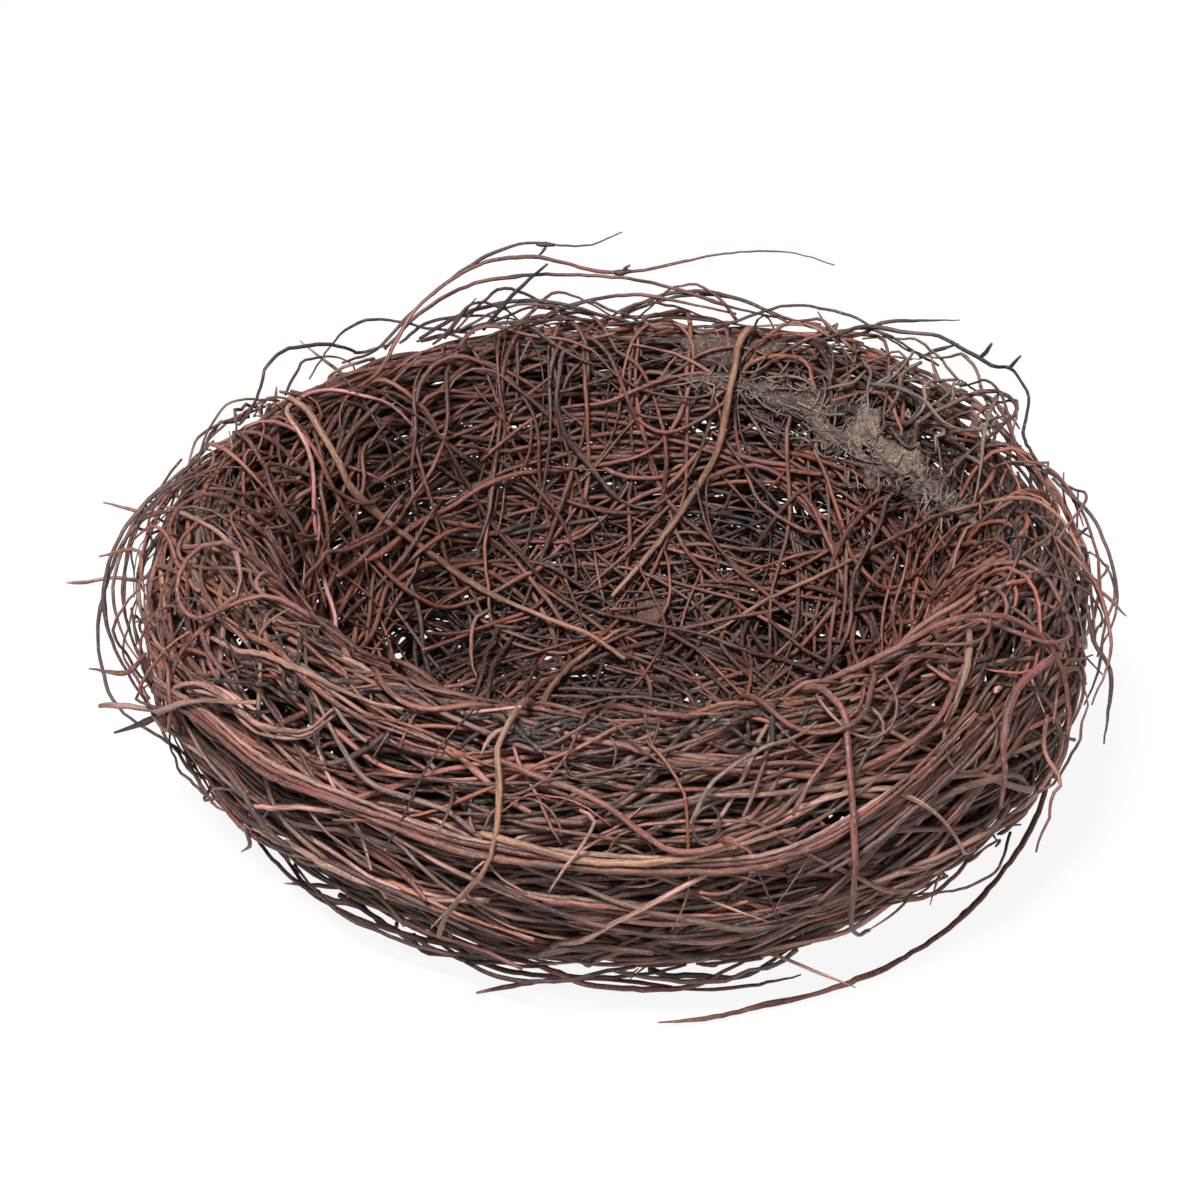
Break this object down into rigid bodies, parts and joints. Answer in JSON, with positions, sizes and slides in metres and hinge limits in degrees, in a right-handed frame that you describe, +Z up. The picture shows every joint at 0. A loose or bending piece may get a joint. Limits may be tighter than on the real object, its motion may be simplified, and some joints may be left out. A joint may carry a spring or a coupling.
{
  "type": "empty bird nest",
  "caption": "Shallow cup nest woven from thin reddish-brown stems, with a bark strip in its lining and loose tendrils round its rim.",
  "frame": {"origin": "middle of the foot, on the surface that the nest stands on", "axes": "+Z up out of the cup, -Y towards the front, +X to the right"},
  "size_m": [0.1546, 0.1406, 0.0657],
  "materials": {
    "russet_stems": "thin reddish-brown stems with a papery bark, fine streaks along them and a faint sheen",
    "umber_twigs": "dark grey-brown twigs and roots, dull, some crusted with black and pale lichen",
    "tan_stems": "thick pinkish-tan stems with lengthwise streaks, peeled in places",
    "grey_bark": "fibrous grey-tan bark, torn at its edges",
    "dry_leaf": "dry yellow-brown leaf with a lengthwise grain"
  },
  "bodies": {
    "root": {"woven_wall": "russet_stems", "floor_mat": "umber_twigs", "bark_strip": "grey_bark", "leaf_chip": "dry_leaf", "back_binder": "tan_stems", "diagonal_binder": "tan_stems", "left_binder": "tan_stems", "right_binder": "russet_stems", "right_arch": "tan_stems", "rim_hoop": "russet_stems", "left_knot": "tan_stems", "tall_tendril": "russet_stems", "long_tendril": "umber_twigs", "arched_tendril": "russet_stems", "left_loop": "umber_twigs", "back_spur": "umber_twigs", "thorny_tendril": "umber_twigs", "side_loop": "umber_twigs", "pale_wisp": "tan_stems", "right_hanger": "umber_twigs", "right_hook": "russet_stems", "front_base_stem": "russet_stems", "left_base_stem": "tan_stems", "right_base_stem": "russet_stems"}
  },
  "joints": []
}
